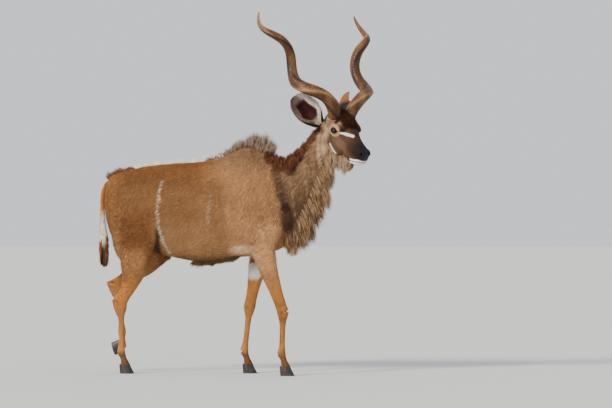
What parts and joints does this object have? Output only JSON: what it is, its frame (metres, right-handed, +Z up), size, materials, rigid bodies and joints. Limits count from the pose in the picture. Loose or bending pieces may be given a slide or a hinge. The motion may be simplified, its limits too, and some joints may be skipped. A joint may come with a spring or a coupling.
{
  "type": "greater kudu",
  "caption": "Life-size greater kudu bull in a slow walking stance, head turned to its right, with spiral horns, crest, throat fringe and tail.",
  "frame": {"origin": "middle of the bounding box's bottom face, on the floor under the belly", "axes": "+X towards the breast, +Y to the animal's left, +Z up"},
  "size_m": [1.8928, 0.7468, 2.3616],
  "materials": {
    "body_coat": "short grey-brown hair",
    "neck_coat": "longer taupe hair",
    "face_coat": "short dark brown hair with white marks",
    "tail_coat": "brown hair, white at the side, dark at the end",
    "leg_coat": "short tawny hair",
    "ear_skin": "thin skin with short hair",
    "eye": "wet and glossy, dark brown",
    "horn": "ridged brown keratin with a worn sheen",
    "hoof": "dark keratin"
  },
  "bodies": {
    "root": {"torso": "body_coat", "neck": "neck_coat", "head": "face_coat", "tail": "tail_coat", "fore_leg_right": "leg_coat", "fore_leg_left": "leg_coat", "hind_leg_right": "leg_coat", "hind_leg_left": "leg_coat", "hoof_fore_right_inner": "hoof", "hoof_fore_right_outer": "hoof", "hoof_fore_left_inner": "hoof", "hoof_fore_left_outer": "hoof", "hoof_hind_right_inner": "hoof", "hoof_hind_right_outer": "hoof", "hoof_hind_left_inner": "hoof", "hoof_hind_left_outer": "hoof", "eye_right": "eye", "eye_left": "eye", "horn_right": "horn", "horn_left": "horn", "ear_right": "ear_skin", "ear_left": "ear_skin"}
  },
  "joints": []
}
